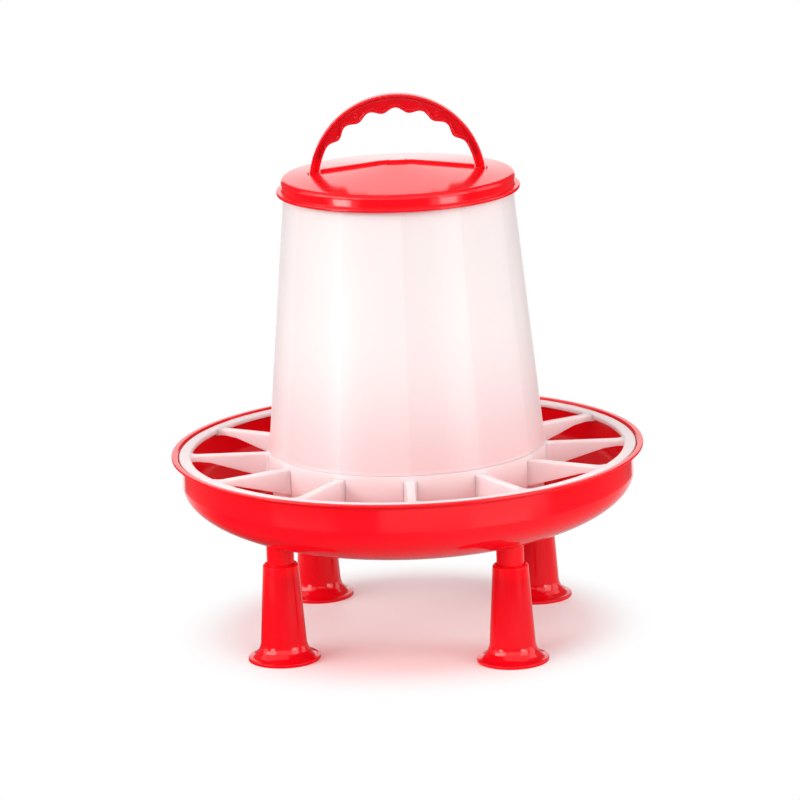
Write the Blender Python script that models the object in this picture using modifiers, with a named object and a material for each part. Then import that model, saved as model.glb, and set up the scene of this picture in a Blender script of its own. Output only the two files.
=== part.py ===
"""Poultry feeder: a red pan on four push-on legs, a white feeding grille, a hopper barrel, a lid and a handle.

The barrel hangs by four lugs on hooks that stand on the pan's centre cone. The grille drops over the barrel
and rests on the ledge inside the pan's rim, and the lid caps the barrel. The handle clips through the lid.
Lengths are metres, +Z is up, and the floor that the feeder stands on is z = 0 under the middle of the pan.
"""
import math

import bmesh
import bpy
from mathutils import Matrix

# Fits between pieces
REST_GAP = 0.0003
SLIDE_GAP = 0.0004
BARREL_TO_COLLAR = 0.0004
BARREL_TO_LID = 0.0003

# Facets around the turned pieces
PAN_FACETS = 72
BARREL_FACETS = 60
LEG_FACETS = 24
STUB_FACETS = 20

# Feeding pan
RIM_RADIUS = 0.1625
RIM_HEIGHT = 0.130
RIM_OVERHANG = 0.0070
RIM_EDGE = 0.0028
RIM_CREST_WIDTH = 0.0048
RIM_ROUNDING = 0.0012
RIM_LEAD_IN = 0.0014
LEDGE_DEPTH = 0.0031
PAN_WALL = 0.0020
BOWL_STRAIGHT = 0.0200
BOWL_DEPTH = 0.0390
BOWL_FLAT_RADIUS = 0.0450
BOWL_STEPS = 9
FLARE_HEIGHT = 0.0033

# Centre cone of the pan, with the hooks that hold the barrel
CONE_FOOT_RADIUS = 0.0840
CONE_TIP_RADIUS = 0.0160
CONE_HEIGHT = 0.0400
HOOK_COUNT = 4
HOOK_TURN = math.radians(45.0)
HOOK_THICKNESS = 0.0030
HOOK_NOSE = 0.0030
HOOK_REACH = 0.0060
HOOK_SEAT_BELOW_RIM = 0.0263
HOOK_WALL_GAP = 0.0009

# Legs and the stubs that they push on
LEG_COUNT = 4
LEG_CIRCLE_RADIUS = 0.1107
LEG_TURN = math.radians(-8.1)
LEG_TO_DISH = 0.0084
LEG_TOP_RADIUS = 0.0121
LEG_NECK_RADIUS = 0.0155
LEG_NECK_HEIGHT = 0.0140
LEG_FOOT_RADIUS = 0.0245
LEG_FOOT_EDGE = 0.0020
LEG_CHAMFER = 0.0008
LEG_WALL = 0.0020
LEG_WEB = 0.0025
LEG_WEB_HOLE_RADIUS = 0.0035
LEG_FLARE_STEPS = 4
STUB_RADIUS = 0.0093
STUB_WALL = 0.0020
STUB_INSERTION = 0.0235

# Hopper barrel
BARREL_LENGTH = 0.2148
BARREL_FOOT_RADIUS = 0.0936
BARREL_STEP = 0.0012
BARREL_TOP_RADIUS = 0.0778
BARREL_WALL = 0.0016
BARREL_RIB_COUNT = 12
BARREL_RIB_TURN = math.radians(1.0)
BARREL_RIB_DEPTH = 0.0024
BARREL_RIB_THICKNESS = 0.0016
BARREL_RIB_END_GAP = 0.0100
LUG_HEIGHT = 0.0035
LUG_WIDTH = 0.0090
LUG_ABOVE_FOOT = 0.0060

# Feeding grille
VANE_COUNT = 12
GRILLE_TURN = math.radians(0.7)
RING_WIDTH = 0.0082
RING_THICKNESS = 0.0018
RING_SKIRT_DEPTH = 0.0029
RING_EDGE_ROUNDING = 0.0006
COLLAR_WALL = 0.0016
COLLAR_ABOVE_RING = 0.0032
COLLAR_HEIGHT = 0.0222
VANE_THICKNESS = 0.0054
VANE_SKIN = 0.0015
VANE_DROP = 0.0002
VANE_OUTER_DEPTH = 0.0041
VANE_BEND_DEPTH = 0.0058
VANE_BEND_RUN = 0.0135
VANE_INNER_LIFT = 0.0006

# Lid
LID_SKIRT_DEPTH = 0.0042
LID_WALL = 0.0014
LID_FLANGE_WIDTH = 0.0032
LID_FLANGE_THICKNESS = 0.0026
LID_SHOULDER_WIDTH = 0.0095
LID_SHOULDER_HEIGHT = 0.0072
LID_SHOULDER_STEPS = 6
LID_SLOPE = math.radians(8.5)
LID_CROWN_RADIUS = 0.0110
LID_STOP_WIDTH = 0.0030
LID_RIB_HEIGHT = 0.0020
LID_RIB_THICKNESS = 0.0022
LID_RIB_NIB = 0.0016

# Carry handle
HANDLE_RADIUS = 0.0600
HANDLE_CENTRE_DROP = 0.0054
HANDLE_WIDTH = 0.0090
HANDLE_BEAD_WIDTH = 0.0070
HANDLE_WEB = 0.0030
HANDLE_FLANGE = 0.0020
HANDLE_BEAD = 0.0014
HANDLE_LEG_DEPTH = 0.0064
GRIP_DEPTH = 0.0089
GRIP_WAVE = 0.0016
GRIP_PITCH = math.radians(20.8)
GRIP_HALF_ANGLE = math.radians(62.4)
HANDLE_STEP = math.radians(2.6)
TONGUE_WIDTH = 0.0056
TONGUE_DEPTH = 0.0034
BARB_REACH = 0.0014
BARB_HEIGHT = 0.0030

# Heights and radii that follow from the sizes above
PAN_WALL_RADIUS = RIM_RADIUS - RIM_OVERHANG
LEDGE_Z = RIM_HEIGHT - LEDGE_DEPTH
LEDGE_RADIUS = RIM_RADIUS - RIM_CREST_WIDTH
BOWL_TOP_Z = RIM_HEIGHT - BOWL_STRAIGHT
SEAT_Z = RIM_HEIGHT - HOOK_SEAT_BELOW_RIM
LUG_Z = SEAT_Z + REST_GAP
BARREL_FOOT_Z = LUG_Z - LUG_ABOVE_FOOT
BARREL_TOP_Z = BARREL_FOOT_Z + BARREL_LENGTH
BARREL_BORE_RADIUS = BARREL_FOOT_RADIUS - BARREL_WALL
RING_TOP_Z = LEDGE_Z + REST_GAP + RING_THICKNESS
RING_RADIUS = LEDGE_RADIUS - SLIDE_GAP
RING_BORE_RADIUS = RING_RADIUS - RING_WIDTH
COLLAR_BORE_RADIUS = BARREL_FOOT_RADIUS + BARREL_TO_COLLAR
COLLAR_RADIUS = COLLAR_BORE_RADIUS + COLLAR_WALL
COLLAR_TOP_Z = RING_TOP_Z + COLLAR_ABOVE_RING
COLLAR_FOOT_Z = COLLAR_TOP_Z - COLLAR_HEIGHT
STEP_Z = COLLAR_TOP_Z + REST_GAP
LID_STOP_Z = BARREL_TOP_Z + REST_GAP
LID_FOOT_Z = LID_STOP_Z - LID_SKIRT_DEPTH

# Colours and gloss of the three mouldings' plastics
RED = (0.80, 0.010, 0.022, 1.0)
WHITE = (0.90, 0.87, 0.86, 1.0)
MILKY = (0.92, 0.86, 0.85, 1.0)


def barrel_radius(z):
    """Outer radius of the barrel at a height above its step: a cone that narrows up to the lid."""
    widest = BARREL_FOOT_RADIUS + BARREL_STEP
    cone_foot_z = STEP_Z + BARREL_STEP
    share = (z - cone_foot_z) / (BARREL_TOP_Z - cone_foot_z)
    return widest + (BARREL_TOP_RADIUS - widest) * max(0.0, share)


def bowl_z(radius, inset=0.0):
    """Height of the pan's underside at a radius, or of a surface that lies inset inside its wall."""
    reach = PAN_WALL_RADIUS - BOWL_FLAT_RADIUS - inset
    share = min(1.0, max(0.0, (radius - BOWL_FLAT_RADIUS) / reach))
    return BOWL_TOP_Z - (BOWL_DEPTH - inset) * math.sqrt(1.0 - share * share)


def bowl_arc(inset, foot_radius):
    """Points of the bowl's quarter ellipse, from its straight wall down to foot_radius."""
    reach = PAN_WALL_RADIUS - BOWL_FLAT_RADIUS - inset
    foot_angle = math.acos((foot_radius - BOWL_FLAT_RADIUS) / reach)
    points = []
    for step in range(BOWL_STEPS + 1):
        angle = foot_angle * step / BOWL_STEPS
        radius = BOWL_FLAT_RADIUS + reach * math.cos(angle)
        points.append((radius, BOWL_TOP_Z - (BOWL_DEPTH - inset) * math.sin(angle)))
    return points


def lid_wall_radius():
    """Outer radius of the lid's short wall, which stands around the barrel's top."""
    return barrel_radius(LID_FOOT_Z) + BARREL_TO_LID + LID_WALL


def lid_shoulder_z(radius):
    """Height of the lid's rounded shoulder at a radius."""
    share = (radius - lid_wall_radius() + LID_SHOULDER_WIDTH) / LID_SHOULDER_WIDTH
    return LID_FOOT_Z + LID_FLANGE_THICKNESS + LID_SHOULDER_HEIGHT * math.sqrt(max(0.0, 1.0 - share * share))


def lid_shoulder_turn():
    """Angle on the shoulder's ellipse at which it runs smoothly into the shallow cone."""
    return math.atan2(LID_SHOULDER_HEIGHT, LID_SHOULDER_WIDTH * math.tan(LID_SLOPE))


def lid_shoulder_radius(angle):
    return lid_wall_radius() - LID_SHOULDER_WIDTH * (1.0 - math.cos(angle))


def lid_top_z(radius):
    """Height of the lid's shallow cone at a radius."""
    edge = lid_shoulder_radius(lid_shoulder_turn())
    return lid_shoulder_z(edge) + (edge - max(radius, LID_CROWN_RADIUS)) * math.tan(LID_SLOPE)


def handle_centre_z():
    """Height of the centre of the handle's arc."""
    return lid_top_z(HANDLE_RADIUS) - HANDLE_CENTRE_DROP


def collection(name, hidden=False):
    group = bpy.data.collections.new(name)
    bpy.context.scene.collection.children.link(group)
    group.hide_render = hidden
    return group


def material(name, colour, roughness, transmission=0.0):
    finish = bpy.data.materials.new(name)
    finish.use_nodes = True
    shader = finish.node_tree.nodes["Principled BSDF"]
    shader.inputs["Base Color"].default_value = colour
    shader.inputs["Roughness"].default_value = roughness
    shader.inputs["Metallic"].default_value = 0.0
    shader.inputs["Transmission Weight"].default_value = transmission
    finish.diffuse_color = colour
    return finish


def add_object(name, mesh, group, finish=None):
    body = bpy.data.objects.new(name, mesh)
    group.objects.link(body)
    if finish:
        mesh.materials.append(finish)
    if group == tools:
        body.hide_render = True
        body.display_type = "WIRE"
    return body


def turned(name, profile, group, finish=None, facets=PAN_FACETS, closed=False):
    """A turned body: a profile of (radius, height) points that a Screw modifier sweeps about Z."""
    mesh = bpy.data.meshes.new(name)
    edges = [(i, i + 1) for i in range(len(profile) - 1)]
    if closed:
        edges.append((len(profile) - 1, 0))
    mesh.from_pydata([(radius, 0.0, z) for radius, z in profile], edges, [])
    body = add_object(name, mesh, group, finish)
    screw = body.modifiers.new("Turn", "SCREW")
    screw.steps = facets
    screw.render_steps = facets
    screw.use_merge_vertices = True
    screw.merge_threshold = 0.00001
    screw.use_smooth_shade = True
    return body


def boolean(body, tool, operation):
    change = body.modifiers.new(f"{operation.title()} {tool.name}", "BOOLEAN")
    change.operation = operation
    change.solver = "EXACT"
    change.object = tool
    return change


def prism(name, outline, thickness, placements):
    """Plates of one outline in the XZ plane, thickness wide along Y, joined in one mesh at each placement."""
    curve = bpy.data.curves.new(name, "CURVE")
    curve.dimensions = "2D"
    curve.fill_mode = "BOTH"
    curve.extrude = thickness / 2
    spline = curve.splines.new("POLY")
    spline.points.add(len(outline) - 1)
    for point, (x, z) in zip(spline.points, outline):
        point.co = (x, z, 0.0, 1.0)
    spline.use_cyclic_u = True
    plate = bpy.data.objects.new(name + " outline", curve)
    tools.objects.link(plate)
    bpy.context.view_layer.update()
    graph = bpy.context.evaluated_depsgraph_get()
    single = bpy.data.meshes.new_from_object(plate.evaluated_get(graph))
    bpy.data.objects.remove(plate)
    single.transform(Matrix.Rotation(math.pi / 2, 4, "X"))
    joined = bmesh.new()
    for placement in placements:
        copy = single.copy()
        copy.transform(placement)
        joined.from_mesh(copy)
        bpy.data.meshes.remove(copy)
    bmesh.ops.remove_doubles(joined, verts=joined.verts, dist=0.000001)
    bmesh.ops.recalc_face_normals(joined, faces=joined.faces)
    mesh = bpy.data.meshes.new(name)
    joined.to_mesh(mesh)
    joined.free()
    return add_object(name, mesh, tools)


def rods(name, radius, foot_z, top_z, centres, facets=STUB_FACETS):
    """Upright cylinders of one size, joined in one mesh."""
    joined = bmesh.new()
    for x, y in centres:
        place = Matrix.Translation((x, y, (foot_z + top_z) / 2))
        bmesh.ops.create_cone(joined, cap_ends=True, segments=facets, radius1=radius, radius2=radius,
                              depth=top_z - foot_z, matrix=place)
    mesh = bpy.data.meshes.new(name)
    joined.to_mesh(mesh)
    joined.free()
    return add_object(name, mesh, tools)


def spin(angle):
    return Matrix.Rotation(angle, 4, "Z")


def spread(count, first):
    """Rotations about Z for count like features, the first one at angle first."""
    return [spin(first + math.tau * index / count) for index in range(count)]


def leg_angles():
    return [math.radians(45.0) + LEG_TURN + math.tau * index / LEG_COUNT for index in range(LEG_COUNT)]


def leg_centres():
    return [(LEG_CIRCLE_RADIUS * math.cos(a), LEG_CIRCLE_RADIUS * math.sin(a)) for a in leg_angles()]


def leg_height():
    """Height of the legs, which end a named distance below the lowest part of the dish over them."""
    return bowl_z(LEG_CIRCLE_RADIUS - LEG_TOP_RADIUS) - LEG_TO_DISH


def stub_end_z():
    """Height of the lower end of the stubs, inside the legs."""
    return leg_height() - STUB_INSERTION


def cone_tip_z():
    return bowl_z(CONE_FOOT_RADIUS, PAN_WALL) + CONE_HEIGHT


def pan_profile():
    """The pan's section, from the tip of the centre cone out over the rim and back under the bowl."""
    tip_z = cone_tip_z()
    top = [(0.0, tip_z), (CONE_TIP_RADIUS, tip_z)]
    floor = bowl_arc(PAN_WALL, CONE_FOOT_RADIUS)[::-1]
    inner_wall = PAN_WALL_RADIUS - PAN_WALL
    rim = [
        (inner_wall, LEDGE_Z),
        (LEDGE_RADIUS, LEDGE_Z),
        (LEDGE_RADIUS, RIM_HEIGHT - RIM_LEAD_IN),
        (LEDGE_RADIUS + RIM_LEAD_IN, RIM_HEIGHT),
        (RIM_RADIUS - RIM_ROUNDING * 1.3, RIM_HEIGHT),
        (RIM_RADIUS - RIM_ROUNDING * 0.4, RIM_HEIGHT - RIM_ROUNDING * 0.4),
        (RIM_RADIUS, RIM_HEIGHT - RIM_ROUNDING * 1.3),
        (RIM_RADIUS, RIM_HEIGHT - RIM_EDGE),
        (RIM_RADIUS - RIM_ROUNDING, RIM_HEIGHT - RIM_EDGE),
        (PAN_WALL_RADIUS, LEDGE_Z - FLARE_HEIGHT),
    ]
    bowl = bowl_arc(0.0, CONE_FOOT_RADIUS + PAN_WALL)
    underside = [(CONE_TIP_RADIUS, tip_z - PAN_WALL), (0.0, tip_z - PAN_WALL)]
    return top + floor + rim + bowl + underside


def bowl_space():
    """The space above the middle of the bowl's wall, which trims what stands on the pan or hangs under it."""
    middle = PAN_WALL / 2
    floor = bowl_arc(middle, CONE_FOOT_RADIUS)[::-1]
    cone = [(CONE_TIP_RADIUS, cone_tip_z() - middle), (0.0, cone_tip_z() - middle)]
    lid = [(0.0, RIM_HEIGHT), (PAN_WALL_RADIUS - middle, RIM_HEIGHT)]
    return turned("bowl space", lid + floor[::-1] + cone, tools)


def hook_outline():
    """Side view of one hook: a fin on the cone with an outward notch that takes the barrel's lug."""
    outer = BARREL_BORE_RADIUS - HOOK_WALL_GAP
    notch = outer - HOOK_REACH
    cap_z = LUG_Z + LUG_HEIGHT + REST_GAP
    foot_z = bowl_z(CONE_FOOT_RADIUS) - PAN_WALL
    crown_z = cap_z + HOOK_NOSE
    return [
        (CONE_TIP_RADIUS, foot_z),
        (outer, foot_z),
        (outer, SEAT_Z),
        (notch, SEAT_Z),
        (notch, cap_z),
        (outer - HOOK_REACH * 0.2, cap_z),
        (outer - HOOK_REACH * 0.3, crown_z),
        (CONE_TIP_RADIUS, crown_z),
    ]


def feed_pan():
    """Red pan with its centre cone, barrel hooks and leg stubs, all one moulding."""
    pan = turned("feed_pan", pan_profile(), parts, red)
    space = bowl_space()
    hooks = prism("hooks", hook_outline(), HOOK_THICKNESS, spread(HOOK_COUNT, HOOK_TURN))
    boolean(hooks, space, "INTERSECT")
    stub_top_z = bowl_z(LEG_CIRCLE_RADIUS + STUB_RADIUS) + PAN_WALL
    stubs = rods("leg stubs", STUB_RADIUS, stub_end_z(), stub_top_z, leg_centres())
    boolean(stubs, space, "DIFFERENCE")
    bore_top_z = bowl_z(LEG_CIRCLE_RADIUS - STUB_RADIUS)
    bore_foot_z = stub_end_z() - PAN_WALL
    bores = rods("stub bores", STUB_RADIUS - STUB_WALL, bore_foot_z, bore_top_z, leg_centres())
    boolean(pan, hooks, "UNION")
    boolean(pan, stubs, "UNION")
    boolean(pan, bores, "DIFFERENCE")
    return pan


def leg_profile():
    """The leg's section: a tapered sleeve on a trumpet foot, with a socket above an inner web."""
    top_z = leg_height()
    flare_radius = LEG_FOOT_RADIUS - LEG_NECK_RADIUS
    flare_height = LEG_NECK_HEIGHT - LEG_FOOT_EDGE
    outside = [(LEG_TOP_RADIUS - LEG_CHAMFER, top_z), (LEG_TOP_RADIUS, top_z - LEG_CHAMFER)]
    for step in range(LEG_FLARE_STEPS + 1):
        angle = math.pi / 2 * step / LEG_FLARE_STEPS
        radius = LEG_NECK_RADIUS + flare_radius * (1.0 - math.cos(angle))
        outside.append((radius, LEG_NECK_HEIGHT - flare_height * math.sin(angle)))
    web_top_z = stub_end_z() - REST_GAP
    web_foot_z = web_top_z - LEG_WEB
    taper = (LEG_NECK_RADIUS - LEG_TOP_RADIUS) / (top_z - LEG_NECK_HEIGHT)
    web_radius = LEG_TOP_RADIUS + taper * (top_z - web_foot_z) - LEG_WALL
    socket_radius = STUB_RADIUS + REST_GAP
    inside = [
        (LEG_FOOT_RADIUS, 0.0),
        (LEG_FOOT_RADIUS - LEG_WALL, 0.0),
        (LEG_NECK_RADIUS - LEG_WALL, LEG_NECK_HEIGHT - LEG_WALL),
        (web_radius, web_foot_z),
        (LEG_WEB_HOLE_RADIUS, web_foot_z),
        (LEG_WEB_HOLE_RADIUS, web_top_z),
        (socket_radius, web_top_z),
        (socket_radius, top_z),
    ]
    return outside + inside


def legs():
    """Four like legs that push up on the pan's stubs."""
    names = ("leg_back_right", "leg_back_left", "leg_front_left", "leg_front_right")
    first = turned(names[0], leg_profile(), parts, red, LEG_FACETS, closed=True)
    made = [first]
    for name in names[1:]:
        twin = first.copy()
        twin.name = name
        parts.objects.link(twin)
        made.append(twin)
    for leg, (x, y) in zip(made, leg_centres()):
        leg.location = (x, y, 0.0)
    return made


def ring_profile():
    """Section of the grille's outer ring: a flat top that rests on the pan's ledge, with an inner skirt."""
    round_off = RING_EDGE_ROUNDING
    return [
        (RING_RADIUS - round_off, RING_TOP_Z),
        (RING_RADIUS, RING_TOP_Z - round_off),
        (RING_RADIUS, RING_TOP_Z - RING_THICKNESS),
        (RING_BORE_RADIUS + COLLAR_WALL, RING_TOP_Z - RING_THICKNESS),
        (RING_BORE_RADIUS + COLLAR_WALL, RING_TOP_Z - RING_SKIRT_DEPTH),
        (RING_BORE_RADIUS, RING_TOP_Z - RING_SKIRT_DEPTH),
        (RING_BORE_RADIUS, RING_TOP_Z - round_off),
        (RING_BORE_RADIUS + round_off, RING_TOP_Z),
    ]


def collar_profile():
    """Section of the grille's inner collar, which stands close around the barrel's foot."""
    middle = COLLAR_BORE_RADIUS + COLLAR_WALL / 2
    return [
        (middle, COLLAR_TOP_Z),
        (COLLAR_RADIUS, COLLAR_TOP_Z - COLLAR_WALL / 2),
        (COLLAR_RADIUS, COLLAR_FOOT_Z),
        (COLLAR_BORE_RADIUS, COLLAR_FOOT_Z),
        (COLLAR_BORE_RADIUS, COLLAR_TOP_Z - COLLAR_WALL / 2),
    ]


def vane_outline(inset=0.0):
    """Side view of one vane, shallow at the ring and deep at the collar, or of its core from below."""
    top_z = RING_TOP_Z - VANE_DROP - inset
    shallow_z = RING_TOP_Z - VANE_OUTER_DEPTH
    bend_z = RING_TOP_Z - VANE_BEND_DEPTH
    deep_z = COLLAR_FOOT_Z + VANE_INNER_LIFT
    inner = COLLAR_BORE_RADIUS + COLLAR_WALL / 2
    outer = RING_BORE_RADIUS + COLLAR_WALL / 2
    bend = RING_BORE_RADIUS - VANE_BEND_RUN
    if inset:
        inner = COLLAR_RADIUS + inset
        outer = RING_BORE_RADIUS - inset
        shallow_z -= VANE_BEND_DEPTH
        bend_z -= VANE_BEND_DEPTH
        deep_z -= VANE_BEND_DEPTH
    return [(inner, top_z), (inner, deep_z), (bend, bend_z), (outer, shallow_z), (outer, top_z)]


def feeding_grille():
    """White grille: an outer ring, twelve hollow vanes and a collar round the barrel, all one moulding."""
    grille = turned("feeding_grille", ring_profile(), parts, white, closed=True)
    places = spread(VANE_COUNT, GRILLE_TURN - math.pi / 2)
    collar = turned("collar", collar_profile(), tools, closed=True)
    vanes = prism("vanes", vane_outline(), VANE_THICKNESS, places)
    cores = prism("vane cores", vane_outline(VANE_SKIN), VANE_THICKNESS - 2 * VANE_SKIN, places)
    boolean(grille, vanes, "UNION")
    boolean(grille, collar, "UNION")
    boolean(grille, cores, "DIFFERENCE")
    return grille


def barrel_profile():
    """Section of the barrel, open at both ends: a cone that steps in above the collar to a straight foot."""
    widest = BARREL_FOOT_RADIUS + BARREL_STEP
    cone_foot_z = STEP_Z + BARREL_STEP
    lip = BARREL_WALL / 2
    return [
        (BARREL_TOP_RADIUS - lip, BARREL_TOP_Z),
        (BARREL_TOP_RADIUS, BARREL_TOP_Z - lip),
        (widest, cone_foot_z),
        (BARREL_FOOT_RADIUS, STEP_Z),
        (BARREL_FOOT_RADIUS, BARREL_FOOT_Z),
        (BARREL_BORE_RADIUS, BARREL_FOOT_Z),
        (BARREL_BORE_RADIUS, STEP_Z),
        (widest - BARREL_WALL, cone_foot_z),
        (BARREL_TOP_RADIUS - BARREL_WALL, BARREL_TOP_Z - lip),
    ]


def rib_outline():
    """Side view of one shallow rib inside the barrel's wall."""
    foot_z = STEP_Z + BARREL_STEP
    top_z = BARREL_TOP_Z - BARREL_RIB_END_GAP
    outer = BARREL_WALL / 2
    inner = BARREL_WALL + BARREL_RIB_DEPTH
    return [
        (barrel_radius(foot_z) - outer, foot_z),
        (barrel_radius(top_z) - outer, top_z),
        (barrel_radius(top_z) - inner, top_z),
        (barrel_radius(foot_z) - inner, foot_z),
    ]


def lug_outline():
    """Side view of one lug on the barrel's foot, which sits in the notch of a hook."""
    inner = BARREL_BORE_RADIUS - HOOK_WALL_GAP - HOOK_REACH + SLIDE_GAP
    outer = BARREL_FOOT_RADIUS - BARREL_WALL / 2
    return [(inner, LUG_Z), (outer, LUG_Z), (outer, LUG_Z + LUG_HEIGHT), (inner, LUG_Z + LUG_HEIGHT)]


def hopper_barrel():
    """Milky barrel with shallow inner ribs and four lugs at its foot, all one moulding."""
    barrel = turned("hopper_barrel", barrel_profile(), parts, milky, BARREL_FACETS, closed=True)
    rib_places = spread(BARREL_RIB_COUNT, BARREL_RIB_TURN - math.pi / 2)
    ribs = prism("barrel ribs", rib_outline(), BARREL_RIB_THICKNESS, rib_places)
    lugs = prism("barrel lugs", lug_outline(), LUG_WIDTH, spread(HOOK_COUNT, HOOK_TURN))
    boolean(barrel, ribs, "UNION")
    boolean(barrel, lugs, "UNION")
    return barrel


def lid_profile():
    """Section of the lid: a shallow cone, a round shoulder and a flange, hollow below with a stop ledge."""
    wall = lid_wall_radius()
    flange_top_z = LID_FOOT_Z + LID_FLANGE_THICKNESS
    outside = [(0.0, lid_top_z(0.0)), (LID_CROWN_RADIUS, lid_top_z(LID_CROWN_RADIUS))]
    for step in range(LID_SHOULDER_STEPS, -1, -1):
        radius = lid_shoulder_radius(lid_shoulder_turn() * step / LID_SHOULDER_STEPS)
        outside.append((radius, lid_shoulder_z(radius)))
    corner = LID_FLANGE_THICKNESS / 4
    flange = [
        (wall + LID_FLANGE_WIDTH - corner, flange_top_z),
        (wall + LID_FLANGE_WIDTH, flange_top_z - corner),
        (wall + LID_FLANGE_WIDTH, LID_FOOT_Z),
        (wall - LID_WALL, LID_FOOT_Z),
    ]
    stop_radius = barrel_radius(LID_STOP_Z) + BARREL_TO_LID
    ledge_radius = stop_radius - LID_STOP_WIDTH
    edge = lid_shoulder_radius(lid_shoulder_turn())
    inside = [
        (stop_radius, LID_STOP_Z),
        (ledge_radius, LID_STOP_Z),
        (ledge_radius, lid_shoulder_z(ledge_radius) - LID_WALL * 1.4),
        (edge - LID_WALL, lid_top_z(edge - LID_WALL) - LID_WALL),
        (LID_CROWN_RADIUS, lid_top_z(LID_CROWN_RADIUS) - LID_WALL),
        (0.0, lid_top_z(0.0) - LID_WALL),
    ]
    return outside + flange + inside


def rib_top_outline(first, last):
    """Side view of the rib that crosses the lid, from one radius to another, sunk halfway into the roof."""
    stations = [first, last]
    if first < 0.0 < last:
        stations = [first, -LID_CROWN_RADIUS, LID_CROWN_RADIUS, last]
    upper = [(x, lid_top_z(abs(x)) + LID_RIB_HEIGHT) for x in stations]
    lower = [(x, lid_top_z(abs(x)) - LID_WALL / 2) for x in stations]
    return upper + lower[::-1]


def slot_radii():
    """Inner and outer radius of the slot that a tongue of the handle passes through."""
    centre = HANDLE_RADIUS - HANDLE_LEG_DEPTH / 2
    return centre - TONGUE_DEPTH / 2 - REST_GAP, centre + TONGUE_DEPTH / 2 + REST_GAP


def lid():
    """Red lid with a rib across its top and two slots for the handle's tongues."""
    cover = turned("lid", lid_profile(), parts, red, BARREL_FACETS)
    here = [Matrix.Identity(4)]
    both = spread(2, 0.0)
    inner, outer = slot_radii()
    foot_radius = HANDLE_RADIUS - HANDLE_LEG_DEPTH
    rib_rise = lid_top_z(foot_radius) + LID_RIB_HEIGHT + REST_GAP - handle_centre_z()
    reach = math.sqrt(foot_radius * foot_radius - rib_rise * rib_rise) - REST_GAP
    nib = (HANDLE_RADIUS + REST_GAP, HANDLE_RADIUS + REST_GAP + LID_RIB_NIB)
    rib = prism("lid rib", rib_top_outline(-reach, reach), LID_RIB_THICKNESS, here)
    nibs = prism("lid rib ends", rib_top_outline(*nib), LID_RIB_THICKNESS, both)
    slot_z = lid_top_z(outer)
    slot = [(inner, slot_z - 4 * LID_WALL), (outer, slot_z - 4 * LID_WALL),
            (outer, slot_z + 4 * LID_WALL), (inner, slot_z + 4 * LID_WALL)]
    slots = prism("lid slots", slot, TONGUE_WIDTH + 2 * REST_GAP, both)
    boolean(cover, rib, "UNION")
    boolean(cover, nibs, "UNION")
    boolean(cover, slots, "DIFFERENCE")
    return cover


def grip_inner_radius(angle):
    """Radius of the handle's inner edge: finger waves on the grip, plain on the two legs."""
    if abs(angle) > GRIP_HALF_ANGLE:
        return HANDLE_RADIUS - HANDLE_LEG_DEPTH
    wave = math.cos(math.tau * angle / GRIP_PITCH)
    depth = GRIP_DEPTH - GRIP_WAVE * wave
    if abs(angle) > GRIP_HALF_ANGLE - GRIP_PITCH / 2:
        share = (GRIP_HALF_ANGLE - abs(angle)) / (GRIP_PITCH / 2)
        depth = HANDLE_LEG_DEPTH + (depth - HANDLE_LEG_DEPTH) * share ** 0.5
    return HANDLE_RADIUS - depth


def handle_foot_angle(radius):
    """Angle from the vertical at which a circle of this radius meets the lid's cone, less the rest gap."""
    low, high = math.radians(60.0), math.radians(100.0)
    for _ in range(40):
        angle = (low + high) / 2
        height = handle_centre_z() + radius * math.cos(angle)
        if height > lid_top_z(radius * math.sin(angle)) + REST_GAP:
            low = angle
        else:
            high = angle
    return low


def handle_section(angle, squeeze):
    """Points (radius, half width) of the handle's I section at one angle; squeeze moves the feet apart."""
    inner = grip_inner_radius(angle)
    outer_half, web_half, bead_half = HANDLE_WIDTH / 2, HANDLE_WEB / 2, HANDLE_BEAD_WIDTH / 2
    radii = [HANDLE_RADIUS, HANDLE_RADIUS - HANDLE_FLANGE, inner + HANDLE_BEAD, inner]
    halves = [outer_half, outer_half, web_half, web_half, bead_half, bead_half]
    side = list(zip([radii[0], radii[1], radii[1], radii[2], radii[2], radii[3]], halves))
    ring = side + [(radius, -half) for radius, half in side[::-1]]
    points = []
    for radius, half in ring:
        turn = angle if abs(angle) < squeeze else math.copysign(handle_foot_angle(radius), angle)
        points.append((radius * math.sin(turn), half, handle_centre_z() + radius * math.cos(turn)))
    return points


def carry_handle():
    """Red handle: an I section swept on an arc, with a tongue and a barb under each foot."""
    last = handle_foot_angle(HANDLE_RADIUS - HANDLE_LEG_DEPTH)
    count = 2 * round(last / HANDLE_STEP)
    angles = [last * (2 * index / count - 1) for index in range(count + 1)]
    build = bmesh.new()
    rings = [[build.verts.new(p) for p in handle_section(angle, last * 0.9999)] for angle in angles]
    for before, after in zip(rings, rings[1:]):
        size = len(before)
        for i in range(size):
            j = (i + 1) % size
            build.faces.new((before[i], before[j], after[j], after[i]))
    build.faces.new(rings[0][::-1])
    build.faces.new(rings[-1])
    bmesh.ops.recalc_face_normals(build, faces=build.faces)
    mesh = bpy.data.meshes.new("carry_handle")
    build.to_mesh(mesh)
    build.free()
    handle = add_object("carry_handle", mesh, parts, red)
    inner, outer = slot_radii()
    inner += REST_GAP
    outer -= REST_GAP
    root_z = lid_top_z(outer) + HANDLE_FLANGE
    catch_z = lid_top_z(outer) - LID_WALL - REST_GAP
    tip_z = catch_z - BARB_HEIGHT
    tongue = [(inner, root_z), (outer, root_z), (outer, tip_z), (inner, tip_z),
              (inner - BARB_REACH, catch_z), (inner, catch_z)]
    tongues = prism("tongues", tongue, TONGUE_WIDTH, spread(2, 0.0))
    boolean(handle, tongues, "UNION")
    return handle


for leftover in list(bpy.data.objects):
    bpy.data.objects.remove(leftover)

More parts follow.
